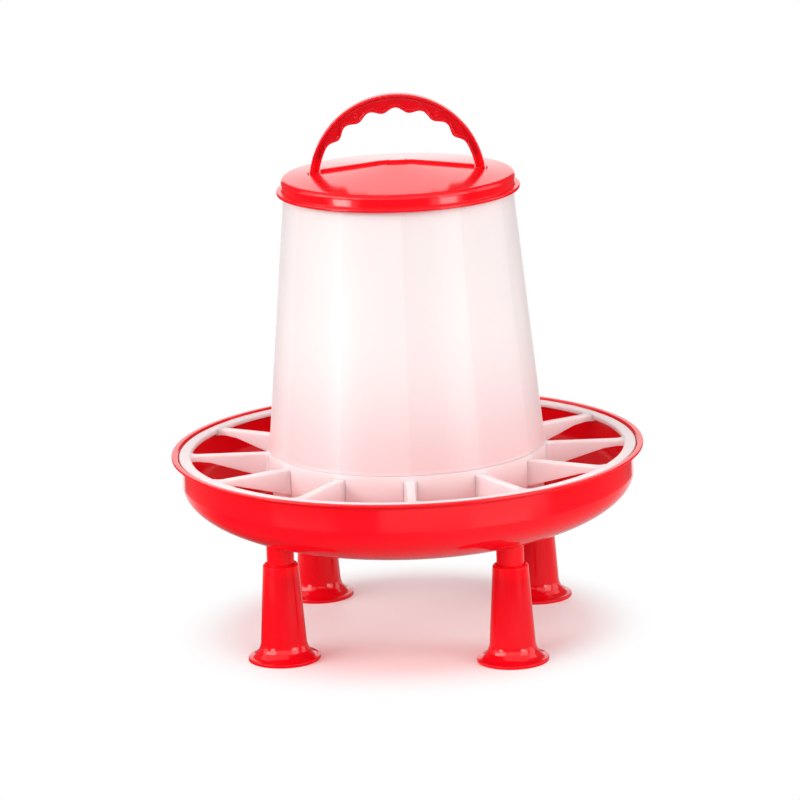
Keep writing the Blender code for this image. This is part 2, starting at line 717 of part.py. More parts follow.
parts = collection("poultry_feeder")
tools = collection("cutters", hidden=True)
red = material("red plastic", RED, 0.22)
white = material("white plastic", WHITE, 0.30)
milky = material("milky plastic", MILKY, 0.32, transmission=0.35)

feed_pan()
legs()
feeding_grille()
hopper_barrel()
lid()
carry_handle()
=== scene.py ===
"""Studio picture of the poultry feeder, with a refined piece for each moulding of the CAD part."""
import math

import bmesh
import bpy
from mathutils import Matrix, Vector

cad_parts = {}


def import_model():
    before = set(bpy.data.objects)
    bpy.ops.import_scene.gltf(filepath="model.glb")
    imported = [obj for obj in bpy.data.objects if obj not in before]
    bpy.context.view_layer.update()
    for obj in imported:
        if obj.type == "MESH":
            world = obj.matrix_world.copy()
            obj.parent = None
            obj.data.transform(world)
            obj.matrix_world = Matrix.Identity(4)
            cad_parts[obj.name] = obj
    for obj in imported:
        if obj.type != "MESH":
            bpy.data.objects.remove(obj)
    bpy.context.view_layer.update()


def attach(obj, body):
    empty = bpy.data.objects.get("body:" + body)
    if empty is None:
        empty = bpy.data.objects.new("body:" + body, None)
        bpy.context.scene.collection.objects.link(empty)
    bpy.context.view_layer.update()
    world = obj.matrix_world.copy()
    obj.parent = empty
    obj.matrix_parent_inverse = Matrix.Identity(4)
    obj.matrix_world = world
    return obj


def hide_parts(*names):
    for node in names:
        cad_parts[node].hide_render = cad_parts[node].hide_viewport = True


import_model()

# Sizes in millimetres, in the part's frame: z = 0 is the floor, the barrel stands on the Z axis
MM = 0.001
GAP = 0.3
MERGE, SMOOTH_ANGLE = 0.0005, math.radians(32.0)
FACETS, COLLAR_FACETS, LEG_FACETS = 320, 288, 128

# Pan: lip, ledge for the grille, dish, centre cone, leg tubes and hooks
RIM_R, RIM_Z = 162.5, 130.0
LIP_IN_R, LIP_FOOT = 159.0, 128.5
LIP_ROOT_R, LIP_ROOT_Z = 160.6, 128.3
LEDGE_R, LEDGE_Z = 157.7, 126.9
WALL_R, WALL_TOP, BOWL_TOP, BOWL_FLAT, BOWL_DEPTH = 155.5, 126.3, 110.0, 45.0, 39.0
PAN_T = 2.0
MOULD_LINES = (101.0, 121.0, 140.0)
MOULD_LINE = ((-0.5, -0.02), (-0.15, 0.28), (0.25, 0.30), (0.6, 0.04))
CONE_R, CONE_TIP_R, CONE_TIP_Z = 84.0, 16.0, 115.46
STUB_R, STUB_BORE, STUB_FOOT, STUB_FILLET, STUB_SUNK = 9.3, 7.3, 44.0, 1.2, 0.8
STUB_ROOF, STUB_CHAMFER, STUB_LEAD = 1.0, 0.8, 0.5
FIN_IN, FIN_OUT, FIN_TOP, FIN_HALF = 22.0, 91.1, 110.8, 1.5
FIN_ROOT, FIN_SKIRT = 108.0, 110.4
NOTCH_IN, TIP_LOW_R, TIP_TOP_R = 85.1, 89.9, 89.3

# Legs: sleeve, trumpet foot and inner web
LEG_R, LEG_TURN = 110.7, math.radians(-8.1)
LEG_TOP, LEG_BORE = 67.5, 9.6
SLEEVE_TOP_R, SLEEVE_FOOT_R, SLEEVE_FOOT = 10.9, 15.1, 20.0
SHOULDER_R, SHOULDER_DROP = 12.1, 1.1
TRUMPET_IN, TRUMPET_OUT, TRUMPET_TOP, TRUMPET_FOOT = 15.5, 24.1, 14.0, 2.4
FOOT_EDGE_R, FOOT_EDGE_TOP, FOOT_SOLE = 24.5, 2.1, 2.0
HOLLOW_FOOT_R, HOLLOW_FOOT, HOLLOW_TOP_R = 13.5, 12.0, 11.8
WEB_LOW, WEB_TOP, WEB_HOLE = 41.2, 43.7, 3.5

# Grille: ring, collar and hollow vanes
RING_OUT, RING_IN, RING_TOP, RING_T, HEM_T, HEM_FOOT = 157.3, 149.1, 129.0, 1.8, 1.6, 126.1
COLLAR_IN, COLLAR_OUT, COLLAR_TOP, COLLAR_FOOT = 94.0, 95.6, 132.2, 110.0
VANES, GRILLE_TURN = 12, math.radians(0.7)
VANE_FROM, VANE_TO, VANE_HALF, VANE_BORE_HALF = 94.8, 149.9, 2.7, 1.2
VANE_FOOT, KNEE_X, KNEE_Z, VANE_END_Z, VANE_DROP = 110.6, 135.6, 123.2, 124.9, 0.12
RING_FILLET, COLLAR_FILLET = 5.5, 3.0
ROOF_FROM, ROOF_TO, ROOF_Z = 97.18, 147.62, 127.4

# Barrel: foot band, flare on the collar, tapered wall, inner ribs and lugs; rib angles in radians
BARREL_FOOT, BARREL_STEP, BARREL_BEND, BARREL_TOP = 98.0, 132.25, 132.5, 312.8
FOOT_R, BARREL_R, BARREL_TOP_R, BARREL_T = 93.6, 94.8, 77.8, 1.6
FLARE, FLARE_HEIGHT = 0.6, 2.0
RIBS, RIB_TURN = 12, math.radians(1.0)
RIB_HALF, RIB_DEPTH, RIB_FOOT, RIB_TOP = 0.8 / 90.0, 2.4, 134.0, 302.2
RIB_ROOT = RIB_HALF * 1.4
LUG_IN, LUG_OUT, LUG_LOW, LUG_HIGH, LUG_HALF = 85.5, 92.8, 104.0, 107.5, 4.5

# Lid: flange, upright wall, round shoulder and cone
LID_FOOT, FLANGE_TOP, LID_WALL_R, FLANGE_R = 308.9, 311.5, 79.87, 83.07
LID_WALL_TOP, SHOULDER_A, SHOULDER_B = 316.7, 3.4, 3.4
LID_SLOPE = math.tan(math.radians(6.5))
LID_T, CROWN_R, STOP_WIDTH = 1.4, 11.0, 3.0
CROSS_RIB, NUB_IN, NUB_OUT, NUB_HEIGHT = 52.4, 60.2, 61.2, 1.3
BOSS_X, BOSS_HALF_X, BOSS_HALF_Y, BOSS_LOW, BOSS_HIGH = 6.2, 0.6, 1.4, 1.2, 2.35

# Handle: an I-section arch about the Y axis, with finger waves whose pitch is in degrees
HANDLE_R, HANDLE_Z = 60.0, 314.98
FLANGE_HALF, FLANGE_T, WEB_HALF, BEAD_HALF, BEAD_T = 4.5, 2.0, 1.5, 3.5, 1.5
GRIP_DEPTH, CROWN_DEPTH, WAVE_DEPTH, WAVE_PITCH, LEG_DEPTH = 8.9, 1.9, 1.6, 20.8, 6.4
GRIP_END = 3.0 * WAVE_PITCH
TONGUE_IN, TONGUE_R, TONGUE_HALF, TONGUE_TOP, TONGUE_LONG = 55.1, 58.5, 2.8, 2.0, 4.7
BARB_IN, BARB_DROP = 53.7, 1.9
MARK_ROOT, RIDGE_HEIGHT = 1.0, 0.35

# Marks on the handle's front: angle from the top in degrees, radius on the arch, own radius, height
EJECTOR_MARKS = {
    "left outer": (-30.8, 53.4, 2.0, 0.35),
    "left inner": (-11.0, 51.1, 0.8, 0.4),
    "left inner twin": (-8.6, 51.5, 0.7, 0.4),
    "right inner": (17.6, 54.8, 1.3, 0.3),
    "right outer": (31.6, 53.2, 1.9, 0.3),
}
# Ridges on the handle's front: the angle and the radius on the arch of both ends
RIDGES = {
    "upper": ((32.8, 56.2), (39.9, 53.9)),
    "lower": ((52.6, 56.7), (57.2, 55.1)),
}

# Colours, and in metres the heights between which one passes into the next
RED = (0.93, 0.0022, 0.010)
# Painted shade: deeper reds for the legs and the handle, standing in for the dimmer light on them
LEG_RED_SHADED = (0.74, 0.0020, 0.009)
HANDLE_RED_SHADED = (0.72, 0.0018, 0.009)
LEGS_END, HANDLE_STARTS = (0.056, 0.066), (0.329, 0.334)
WHITE = (0.995, 0.80, 0.805)
MILKY = (0.995, 0.82, 0.81)
# Painted glow: the foot's pinker colour stands in for red light from the pan
MILKY_PAINTED_GLOW = (0.995, 0.66, 0.67)
MILKY_TOP = (0.995, 0.83, 0.82)
PAINTED_GLOW_ENDS = (0.115, 0.230)
RIB_TONES = (0.955, 0.98, 1.0)
TABLE_WHITE = (0.92, 0.915, 0.915)
PURE_WHITE = (1.0, 1.0, 1.0)


# Mesh helpers

def off_axis(section):
    """True for a section that starts right of the axis: it closes on itself, and its ends are rounded."""
    return section[0][0] > 0.01


def rounded(corners, steps=5):
    """A polyline of (r, z) or (r, z, fillet) corners with each filleted corner turned into an arc."""
    points = []
    count = len(corners)
    for i, corner in enumerate(corners):
        here = Vector(corner[:2])
        fillet = corner[2] if len(corner) > 2 else 0.0
        open_end = i in (0, count - 1) and not off_axis(corners)
        if not fillet or open_end:
            points.append(tuple(here))
            continue
        before = Vector(corners[i - 1][:2])
        after = Vector(corners[(i + 1) % count][:2])
        u, v = (before - here), (after - here)
        corner_angle = u.angle(v)
        if corner_angle > math.pi - 0.02:
            points.append(tuple(here))
            continue
        run = min(fillet / math.tan(corner_angle / 2), 0.49 * u.length, 0.49 * v.length)
        radius = run * math.tan(corner_angle / 2)
        u.normalize()
        v.normalize()
        centre = here + (u + v).normalized() * (radius / math.sin(corner_angle / 2))
        start, end = here + u * run - centre, here + v * run - centre
        arc = start.angle_signed(end)
        for k in range(steps + 1):
            a = -arc * k / steps
            c, s = math.cos(a), math.sin(a)
            points.append((centre.x + start.x * c - start.y * s, centre.y + start.x * s + start.y * c))
    return points


def finish_mesh(name, build, finish):
    """Ends a build in millimetres as a smooth object in metres with one material."""
    bmesh.ops.remove_doubles(build, verts=build.verts, dist=MERGE)
    bmesh.ops.recalc_face_normals(build, faces=build.faces)
    build.transform(Matrix.Scale(MM, 4))
    mesh = bpy.data.meshes.new(name)
    build.to_mesh(mesh)
    build.free()
    mesh.shade_smooth()
    mesh.set_sharp_from_angle(angle=SMOOTH_ANGLE)
    mesh.materials.append(finish)
    piece = bpy.data.objects.new(name, mesh)
    bpy.context.scene.collection.objects.link(piece)
    return piece


def sweep(build, rings, loop=False, closed=True):
    """Faces between like rings of points; loop joins the last ring to the first, closed each ring's ends."""
    made = [[build.verts.new(p) for p in ring] for ring in rings]
    pairs = list(zip(made, made[1:])) + ([(made[-1], made[0])] if loop else [])
    for before, after in pairs:
        size = len(before)
        for i in range(size if closed else size - 1):
            j = (i + 1) % size
            build.faces.new((before[i], before[j], after[j], after[i]))
    return made


def turn(build, section, facets, centre=(0.0, 0.0)):
    """Turns a closed or axis-to-axis (r, z) section about the vertical line through centre."""
    cx, cy = centre
    rings = []
    for i in range(facets):
        a = math.tau * i / facets
        c, s = math.cos(a), math.sin(a)
        rings.append([(cx + r * c, cy + r * s, z) for r, z in section])
    sweep(build, rings, loop=True, closed=off_axis(section))


def capped(build, rings):
    """Sweeps between the rings and closes the first and the last with a face each."""
    made = sweep(build, rings)
    build.faces.new(made[0][::-1])
    build.faces.new(made[-1])


def placed(points, angle):
    """The points turned about the Z axis."""
    c, s = math.cos(angle), math.sin(angle)
    return [(x * c - y * s, x * s + y * c, z) for x, y, z in points]


def box(build, lo, hi, angle=0.0):
    """Box between two corners, turned about the Z axis."""
    (x0, y0, z0), (x1, y1, z1) = lo, hi
    low = placed([(x0, y0, z0), (x1, y0, z0), (x1, y1, z0), (x0, y1, z0)], angle)
    high = [(x, y, z1) for x, y, _ in low]
    capped(build, [low, high])


def four_corners(turned=0.0):
    """Angles of the four legs, hooks or lugs."""
    return [math.radians(45.0) + turned + math.tau * k / 4 for k in range(4)]


# Node helpers

def feed(tree, value, socket):
    """Links an output to a socket, or writes a plain value on it."""
    if isinstance(value, bpy.types.NodeSocket):
        tree.links.new(value, socket)
    else:
        socket.default_value = value


def computed(tree, operation, *values):
    node = tree.nodes.new("ShaderNodeMath")
    node.operation = operation
    for socket, value in zip(node.inputs, values):
        feed(tree, value, socket)
    return node.outputs["Value"]


def ramp(tree, source, low, high, to_low=0.0, to_high=1.0, kind="SMOOTHSTEP"):
    """Takes low to high of the source to to_low to to_high."""
    node = tree.nodes.new("ShaderNodeMapRange")
    node.interpolation_type = kind
    values = {"Value": source, "From Min": low, "From Max": high, "To Min": to_low, "To Max": to_high}
    for name, value in values.items():
        feed(tree, value, node.inputs[name])
    return node.outputs["Result"]


def mixed_colour(tree, share, first, second, blend="MIX"):
    node = tree.nodes.new("ShaderNodeMix")
    node.data_type = "RGBA"
    node.blend_type = blend
    for name, value in {"Factor": share, "A": first, "B": second}.items():
        feed(tree, value, node.inputs[name])
    return node.outputs["Result"]


def mixed_shader(tree, share, first, second):
    node = tree.nodes.new("ShaderNodeMixShader")
    feed(tree, share, node.inputs["Fac"])
    tree.links.new(first, node.inputs[1])
    tree.links.new(second, node.inputs[2])
    return node.outputs["Shader"]


def coordinates(tree, kind="Object"):
    return tree.nodes.new("ShaderNodeTexCoord").outputs[kind]


def axes_of(tree, vector):
    """The X, Y and Z outputs of a vector."""
    node = tree.nodes.new("ShaderNodeSeparateXYZ")
    tree.links.new(vector, node.inputs["Vector"])
    return node.outputs


def noise(tree, where, scale, detail):
    node = tree.nodes.new("ShaderNodeTexNoise")
    node.inputs["Scale"].default_value = scale
    node.inputs["Detail"].default_value = detail
    tree.links.new(where, node.inputs["Vector"])
    return node.outputs["Fac"]


# Finishes

CLOUD_SCALE, RIPPLE_SCALE, RIPPLE_DEPTH = 28.0, 420.0, 0.0004
SCATTER_REACH = (1.0, 0.95, 0.95)


def plastic(name, colour, roughness, scatter=0.0, depth=0.0025, ripple=0.03, ior=1.5, wander=0.12):
    """Moulded plastic: one colour, a gloss that may wander a little, and a very fine surface ripple."""
    made = bpy.data.materials.new(name)
    made.use_nodes = True
    tree = made.node_tree
    shader = tree.nodes["Principled BSDF"]
    shader.inputs["Base Color"].default_value = (*colour, 1.0)
    shader.inputs["Roughness"].default_value = roughness
    shader.inputs["IOR"].default_value = ior
    shader.inputs["Subsurface Weight"].default_value = scatter
    shader.inputs["Subsurface Radius"].default_value = SCATTER_REACH
    shader.inputs["Subsurface Scale"].default_value = depth
    where = coordinates(tree)
    if wander:
        least, most = roughness * (1.0 - wander), roughness * (1.0 + wander)
        cloud = noise(tree, where, CLOUD_SCALE, detail=1.0)
        tree.links.new(ramp(tree, cloud, 0.0, 1.0, least, most, "LINEAR"), shader.inputs["Roughness"])
    bump = tree.nodes.new("ShaderNodeBump")
    bump.inputs["Strength"].default_value = ripple
    bump.inputs["Distance"].default_value = RIPPLE_DEPTH
    tree.links.new(noise(tree, where, RIPPLE_SCALE, detail=2.0), bump.inputs["Height"])
    tree.links.new(bump.outputs["Normal"], shader.inputs["Normal"])
    return made


def paint_shade_on_red(made):
    """Painted shade: the legs, below the dish, and the handle, above the lid, are painted a deeper red than
    the pan and the lid, for the dimmer light that falls on them.
    """
    tree = made.node_tree
    height = axes_of(tree, coordinates(tree))["Z"]
    body = mixed_colour(tree, ramp(tree, height, *LEGS_END), (*LEG_RED_SHADED, 1.0), (*RED, 1.0))
    whole = mixed_colour(tree, ramp(tree, height, *HANDLE_STARTS), body, (*HANDLE_RED_SHADED, 1.0))
    tree.links.new(whole, tree.nodes["Principled BSDF"].inputs["Base Color"])


def tint_barrel(made):
    """Painted glow: the barrel's foot is painted pinker for the red light from the pan that glows through it,
    and the tone steps up and falls back at each rib.
    """
    tree = made.node_tree
    axes = axes_of(tree, coordinates(tree))
    glow = ramp(tree, axes["Z"], *PAINTED_GLOW_ENDS)
    tone = mixed_colour(tree, glow, (*MILKY_PAINTED_GLOW, 1.0), (*MILKY_TOP, 1.0))
    angle = computed(tree, "ARCTAN2", axes["Y"], axes["X"])
    # Only the fraction of the count is used; the whole number keeps it above zero
    per_turn, above_zero = RIBS / math.tau, 15.0
    sectors = computed(tree, "MULTIPLY_ADD", angle, per_turn, above_zero - RIB_TURN * per_turn)
    steps = tree.nodes.new("ShaderNodeValToRGB")
    stops = steps.color_ramp.elements
    stops.new(0.5)
    for stop, tone_step in zip(stops, RIB_TONES):
        stop.color = (tone_step, tone_step, tone_step, 1.0)
    tree.links.new(computed(tree, "FRACT", sectors), steps.inputs["Fac"])
    shaded = mixed_colour(tree, 1.0, tone, steps.outputs["Color"], "MULTIPLY")
    tree.links.new(shaded, tree.nodes["Principled BSDF"].inputs["Base Color"])


red = plastic("red plastic", RED, roughness=0.13, ripple=0.02, ior=1.43)
white = plastic("white plastic", WHITE, roughness=0.34, scatter=0.7)
milky = plastic("milky plastic", MILKY, roughness=0.36, scatter=0.8, depth=0.003, wander=0.0)
paint_shade_on_red(red)
tint_barrel(milky)


# Pan

def bowl_z(radius, inset=0.0):
    """Height of the dish's outside at a radius; inset counts inward from it."""
    share = min(1.0, max(0.0, (radius - BOWL_FLAT) / (WALL_R - BOWL_FLAT - inset)))
    return BOWL_TOP - (BOWL_DEPTH - inset) * math.sqrt(1.0 - share * share)


def bowl_arc(inset, foot, steps=26):
    """The dish's section from the wall down to the radius foot."""
    reach = WALL_R - BOWL_FLAT - inset
    last = math.acos((foot - BOWL_FLAT) / reach)
    arc = []
    for k in range(steps + 1):
        a = last * k / steps
        arc.append((BOWL_FLAT + reach * math.cos(a), BOWL_TOP - (BOWL_DEPTH - inset) * math.sin(a)))
    return arc


def with_mould_lines(arc):
    """The dish's floor with three faint raised rings, as the mould leaves them."""
    lines = []
    for before, after in zip(arc, arc[1:]):
        lines.append(before)
        for radius in MOULD_LINES:
            if before[0] < radius <= after[0]:
                share = (radius - before[0]) / (after[0] - before[0])
                z = before[1] + share * (after[1] - before[1])
                lines += [(radius + across, z + up) for across, up in MOULD_LINE]
    lines.append(arc[-1])
    return lines


def leg_centres():
    return [(LEG_R * math.cos(a), LEG_R * math.sin(a)) for a in four_corners(LEG_TURN)]


def stub(build, centre, facets=72):
    """Tube under the pan that a leg pushes on, with a small fillet where it meets the dish."""
    cx, cy = centre
    rings = []
    for i in range(facets):
        a = math.tau * i / facets
        c, s = math.cos(a), math.sin(a)

        def dish(r):
            return bowl_z(math.hypot(cx + r * c, cy + r * s))

        side = [(STUB_BORE, dish(STUB_BORE) - STUB_ROOF), (STUB_BORE, STUB_FOOT + STUB_LEAD)]
        side += [(STUB_BORE + STUB_LEAD, STUB_FOOT), (STUB_R - STUB_CHAMFER, STUB_FOOT)]
        side += [(STUB_R, STUB_FOOT + STUB_CHAMFER)]
        for k in range(6):
            b = math.pi / 2 * k / 5
            r = STUB_R + STUB_FILLET * (1.0 - math.cos(b))
            side.append((r, dish(r) - STUB_FILLET * (1.0 - math.sin(b))))
        widest = STUB_R + STUB_FILLET
        side += [(widest, dish(widest) + STUB_SUNK), (STUB_BORE - STUB_LEAD, dish(STUB_BORE) + STUB_SUNK)]
        rings.append([(cx + r * c, cy + r * s, z) for r, z in side])
    sweep(build, rings, loop=True)


def hook(build, angle):
    """Fin on the centre cone, with the outward notch that takes a lug of the barrel."""
    notch_foot, notch_top = LUG_LOW - GAP, LUG_HIGH + GAP
    outline = rounded([
        (FIN_IN, FIN_ROOT), (FIN_IN, FIN_TOP, 0.5), (TIP_TOP_R, FIN_TOP, 0.5), (TIP_LOW_R, notch_top, 0.3),
        (NOTCH_IN, notch_top, 0.4), (NOTCH_IN, notch_foot, 0.4), (FIN_OUT, notch_foot, 0.4),
        (FIN_OUT, bowl_z(FIN_OUT, PAN_T / 2)), (CONE_R, bowl_z(CONE_R, PAN_T / 2)),
        (FIN_IN, FIN_SKIRT)], steps=3)
    near = placed([(x, -FIN_HALF, z) for x, z in outline], angle)
    far = placed([(x, FIN_HALF, z) for x, z in outline], angle)
    capped(build, [near, far])


def make_pan():
    build = bmesh.new()
    dish_floor = bowl_arc(PAN_T, CONE_R)[::-1]
    section = [(0.0, CONE_TIP_Z), (CONE_TIP_R, CONE_TIP_Z, 4.0)]
    section += [(*dish_floor[0], 7.0)] + with_mould_lines(dish_floor[1:])
    section += [
        (WALL_R - PAN_T, LEDGE_Z, 0.35), (LEDGE_R, LEDGE_Z, 0.3), (LEDGE_R, LIP_FOOT, 0.4),
        (LIP_IN_R, RIM_Z, 0.9), (RIM_R, RIM_Z, 1.0), (RIM_R, LIP_FOOT, 0.4),
        (LIP_ROOT_R, LIP_ROOT_Z, 0.8), (WALL_R, WALL_TOP, 1.6)]
    section += bowl_arc(0.0, CONE_R + PAN_T)
    section[-1] = (*section[-1], 5.0)
    section += [(CONE_TIP_R, CONE_TIP_Z - PAN_T, 3.0), (0.0, CONE_TIP_Z - PAN_T)]
    turn(build, rounded(section), FACETS)
    for centre in leg_centres():
        stub(build, centre)
    for angle in four_corners():
        hook(build, angle)
    return finish_mesh("pan", build, red)


# Legs

def make_leg(name, centre):
    build = bmesh.new()
    section = [
        (LEG_BORE, LEG_TOP, 0.3), (SLEEVE_TOP_R, LEG_TOP, 0.3),
        (SHOULDER_R, LEG_TOP - SHOULDER_DROP, 0.5), (SLEEVE_FOOT_R, SLEEVE_FOOT)]
    for k in range(13):
        a = math.pi / 2 * k / 12
        out = (TRUMPET_OUT - TRUMPET_IN) * (1.0 - math.cos(a))
        section.append((TRUMPET_IN + out, TRUMPET_TOP - (TRUMPET_TOP - TRUMPET_FOOT) * math.sin(a)))
    section += [
        (FOOT_EDGE_R, FOOT_EDGE_TOP, 0.4), (FOOT_EDGE_R, 0.0, 0.5), (FOOT_EDGE_R - FOOT_SOLE, 0.0, 0.3),
        (HOLLOW_FOOT_R, HOLLOW_FOOT, 4.0), (HOLLOW_TOP_R, WEB_LOW, 0.4), (WEB_HOLE, WEB_LOW, 0.2),
        (WEB_HOLE, WEB_TOP, 0.2), (LEG_BORE, WEB_TOP, 0.4)]
    turn(build, rounded(section), LEG_FACETS, centre)
    return finish_mesh(name, build, red)


# Grille

def vane_half(x):
    """Half of a vane's width, which grows in a fillet at the collar and at the ring."""
    half = VANE_HALF
    ring_start, collar_end = RING_IN - RING_FILLET, COLLAR_OUT + COLLAR_FILLET
    if x > ring_start:
        share = min(0.98, (x - ring_start) / RING_FILLET)
        half += RING_FILLET * (1.0 - math.sqrt(1.0 - share * share))
    if x < collar_end:
        share = min(0.98, (collar_end - x) / COLLAR_FILLET)
        half += COLLAR_FILLET * (1.0 - math.sqrt(1.0 - share * share))
    return half


def vane_low(x):
    """Height of a vane's underside, which follows the dish in two slopes."""
    if x > KNEE_X:
        return KNEE_Z + (VANE_END_Z - KNEE_Z) * (x - KNEE_X) / (RING_IN + 0.8 - KNEE_X)
    return VANE_FOOT + (KNEE_Z - VANE_FOOT) * (x - VANE_FROM) / (KNEE_X - VANE_FROM)


def vane(build, angle):
    """Hollow radial vane, open below, with fillets where it runs into the ring and the collar."""
    stations = [VANE_FROM + (VANE_TO - VANE_FROM) * k / 52 for k in range(53)]
    # Pairs of stations close to where the hollow's roof starts and ends
    stations += [ROOF_FROM - 0.03, ROOF_FROM + 0.02, ROOF_TO - 0.02, ROOF_TO + 0.03]
    top = RING_TOP - VANE_DROP
    rings = []
    for x in sorted(stations):
        half, low = vane_half(x), vane_low(x)
        roof = ROOF_Z if ROOF_FROM < x < ROOF_TO else low + 0.02
        section = rounded([
            (-half, low), (-half, top, 1.3), (half, top, 1.3), (half, low, 0.4),
            (VANE_BORE_HALF, low, 0.3), (VANE_BORE_HALF, roof, 0.01), (-VANE_BORE_HALF, roof, 0.01),
            (-VANE_BORE_HALF, low)], steps=4)
        rings.append(placed([(x, y, z) for y, z in section], angle))
    capped(build, rings)


def make_grille():
    build = bmesh.new()
    hem_r, ring_foot = RING_IN + HEM_T, RING_TOP - RING_T
    ring = [
        (RING_IN, RING_TOP, 1.4), (RING_OUT, RING_TOP, 0.7), (RING_OUT, ring_foot, 0.3),
        (hem_r, ring_foot, 0.4), (hem_r, HEM_FOOT, 0.5), (RING_IN, HEM_FOOT, 0.6)]
    turn(build, rounded(ring), FACETS)
    collar = [
        (COLLAR_IN, COLLAR_TOP, 0.6), (COLLAR_OUT, COLLAR_TOP, 0.7), (COLLAR_OUT, COLLAR_FOOT, 0.5),
        (COLLAR_IN, COLLAR_FOOT, 0.5)]
    turn(build, rounded(collar), COLLAR_FACETS)
    for k in range(VANES):
        vane(build, GRILLE_TURN - math.pi / 2 + math.tau * k / VANES)
    return finish_mesh("grille", build, white)


# Barrel

def barrel_r(z):
    """Outer radius of the barrel: straight foot band, flare on the collar, then the taper."""
    if z < BARREL_BEND:
        share = max(0.0, (z - BARREL_STEP) / (BARREL_BEND - BARREL_STEP))
        return FOOT_R + (BARREL_R + FLARE - FOOT_R) * share
    share = (z - BARREL_BEND) / (BARREL_TOP - BARREL_BEND)
    flare = FLARE * max(0.0, 1.0 - (z - BARREL_BEND) / FLARE_HEIGHT) ** 2
    return BARREL_R + (BARREL_TOP_R - BARREL_R) * share + flare


def barrel_angles():
    """Angles round the barrel, each with the share of the rib's depth there."""
    angles = []
    plain, count = math.tau / RIBS - 2 * RIB_ROOT, 22
    for k in range(RIBS):
        rib = RIB_TURN - math.pi / 2 + math.tau * k / RIBS
        angles += [(rib - RIB_ROOT, 0.0), (rib - RIB_HALF, 1.0), (rib + RIB_HALF, 1.0), (rib + RIB_ROOT, 0.0)]
        angles += [(rib + RIB_ROOT + plain * j / count, 0.0) for j in range(1, count)]
    return angles


def barrel_heights():
    """Heights of the barrel's rings, close together at the flare."""
    heights = [BARREL_FOOT + 0.5, 105.0, 112.0, 120.0, 128.0, BARREL_STEP, BARREL_BEND]
    heights += [132.9, 133.4, 134.0, 134.5]
    wall_from, wall_to, count = 135.0, 302.0, 24
    heights += [wall_from + (wall_to - wall_from) * j / count for j in range(count + 1)]
    heights += [302.4, 306.0, BARREL_TOP - 0.6]
    return heights


def barrel_edge(radius, z, drop, inset=0.25):
    """Three points that round an end of the barrel's wall, from the outside to the inside."""
    inner = radius - BARREL_T
    return [(radius - inset, z - drop), (radius - BARREL_T / 2, z), (inner + inset, z - drop)]


def make_barrel():
    """Thin wall with twelve shallow ribs drawn straight into its inner face, and four lugs at its foot."""
    build = bmesh.new()
    heights = barrel_heights()
    rings = []
    for a, rise in barrel_angles():
        c, s = math.cos(a), math.sin(a)
        side = [(barrel_r(z), z) for z in heights]
        side += barrel_edge(barrel_r(BARREL_TOP), BARREL_TOP, 0.12)
        for z in heights[::-1]:
            rib = RIB_DEPTH * rise if RIB_FOOT < z < RIB_TOP else 0.0
            side.append((barrel_r(z) - BARREL_T - rib, z))
        side += barrel_edge(FOOT_R, BARREL_FOOT, -0.1)[::-1]
        rings.append([(r * c, r * s, z) for r, z in side])
    sweep(build, rings, loop=True)
    for angle in four_corners():
        box(build, (LUG_IN, -LUG_HALF, LUG_LOW), (LUG_OUT, LUG_HALF, LUG_HIGH), angle)
    return finish_mesh("barrel", build, milky)


# Lid

def shoulder_z(radius):
    share = (radius - LID_WALL_R + SHOULDER_A) / SHOULDER_A
    return LID_WALL_TOP + SHOULDER_B * math.sqrt(max(0.0, 1.0 - share * share))


SHOULDER_TURN = math.atan2(SHOULDER_B, SHOULDER_A * LID_SLOPE)
SHOULDER_END = LID_WALL_R - SHOULDER_A * (1.0 - math.cos(SHOULDER_TURN))


def lid_z(radius):
    """Height of the lid's cone, which is flat at the crown."""
    return shoulder_z(SHOULDER_END) + (SHOULDER_END - max(radius, CROWN_R)) * LID_SLOPE


def lid_rib(build, start, end, half=1.1, height=1.95):
    """Rounded rib along X on the lid's cone, from start to end."""
    count = max(2, round(abs(end - start) / 1.5))
    rings = []
    for k in range(count + 1):
        x = start + (end - start) * k / count
        base = lid_z(abs(x))
        trim = 0.25 if k in (0, count) else 0.0
        side, foot, top = half - trim, base - 0.7, base + height - trim
        section = rounded([(-side, foot), (-side, top, 0.6), (side, top, 0.6), (side, foot)], steps=4)
        rings.append([(x, y, z) for y, z in section])
    capped(build, rings)


def make_lid():
    build = bmesh.new()
    section = [(0.0, lid_z(0.0)), (CROWN_R, lid_z(CROWN_R), 6.0)]
    for k in range(16, -1, -1):
        radius = LID_WALL_R - SHOULDER_A * (1.0 - math.cos(SHOULDER_TURN * k / 16))
        section.append((radius, shoulder_z(radius)))
    stop_out = barrel_r(BARREL_TOP + GAP) + GAP
    stop_in, stop_z = stop_out - STOP_WIDTH, BARREL_TOP + GAP
    # Two points on the wall keep its smooth shading upright
    section += [(LID_WALL_R, LID_WALL_TOP - 0.5), (LID_WALL_R, FLANGE_TOP + 1.0)]
    section += [
        (LID_WALL_R, FLANGE_TOP, 0.5), (FLANGE_R, FLANGE_TOP - 0.1, 1.1), (FLANGE_R, LID_FOOT, 0.9),
        (LID_WALL_R - LID_T, LID_FOOT, 0.4), (stop_out, stop_z), (stop_in, stop_z, 0.3),
        (stop_in, lid_z(stop_in) - LID_T, 1.0), (CROWN_R, lid_z(CROWN_R) - LID_T),
        (0.0, lid_z(0.0) - LID_T)]
    turn(build, rounded(section), FACETS)
    lid_rib(build, -CROSS_RIB, CROSS_RIB)
    lid_rib(build, NUB_IN, NUB_OUT, height=NUB_HEIGHT)
    lid_rib(build, -NUB_OUT, -NUB_IN, height=NUB_HEIGHT)
    low, high = lid_z(0.0) + BOSS_LOW, lid_z(0.0) + BOSS_HIGH
    for x in (-BOSS_X, BOSS_X):
        box(build, (x - BOSS_HALF_X, -BOSS_HALF_Y, low), (x + BOSS_HALF_X, BOSS_HALF_Y, high))
    return finish_mesh("lid_cover", build, red)


# Handle

